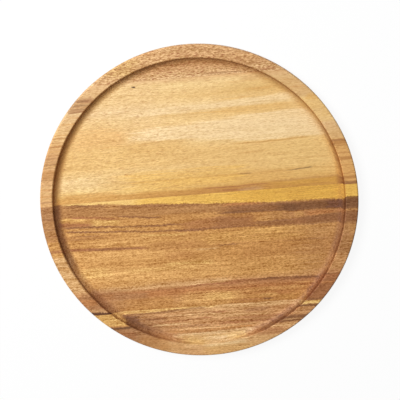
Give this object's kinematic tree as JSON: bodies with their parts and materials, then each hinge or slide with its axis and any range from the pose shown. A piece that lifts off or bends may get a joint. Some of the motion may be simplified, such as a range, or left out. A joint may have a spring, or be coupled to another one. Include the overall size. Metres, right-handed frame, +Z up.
{
  "type": "pizza serving board",
  "caption": "Round edge-glued wooden serving board with a raised rim around a shallow flat dish that holds a pizza.",
  "frame": {"origin": "centre of the underside, on the surface that the board rests on", "axes": "+X along the grain and the glue lines, +Y across the staves towards the narrow rosy stave, +Z up"},
  "size_m": [0.33, 0.33, 0.015],
  "materials": {
    "rosy_wood": "sanded and oiled, satin",
    "light_wood": "sanded and oiled, satin",
    "brown_wood": "sanded and oiled, satin",
    "streaky_wood": "sanded and oiled, satin",
    "dried_glue": "hard dried glue, sanded flush"
  },
  "bodies": {
    "root": {"back_edge_stave": "rosy_wood", "back_glue_line": "dried_glue", "light_stave": "light_wood", "middle_glue_line": "dried_glue", "brown_stave": "brown_wood", "front_glue_line": "dried_glue", "front_edge_stave": "streaky_wood"}
  },
  "joints": []
}
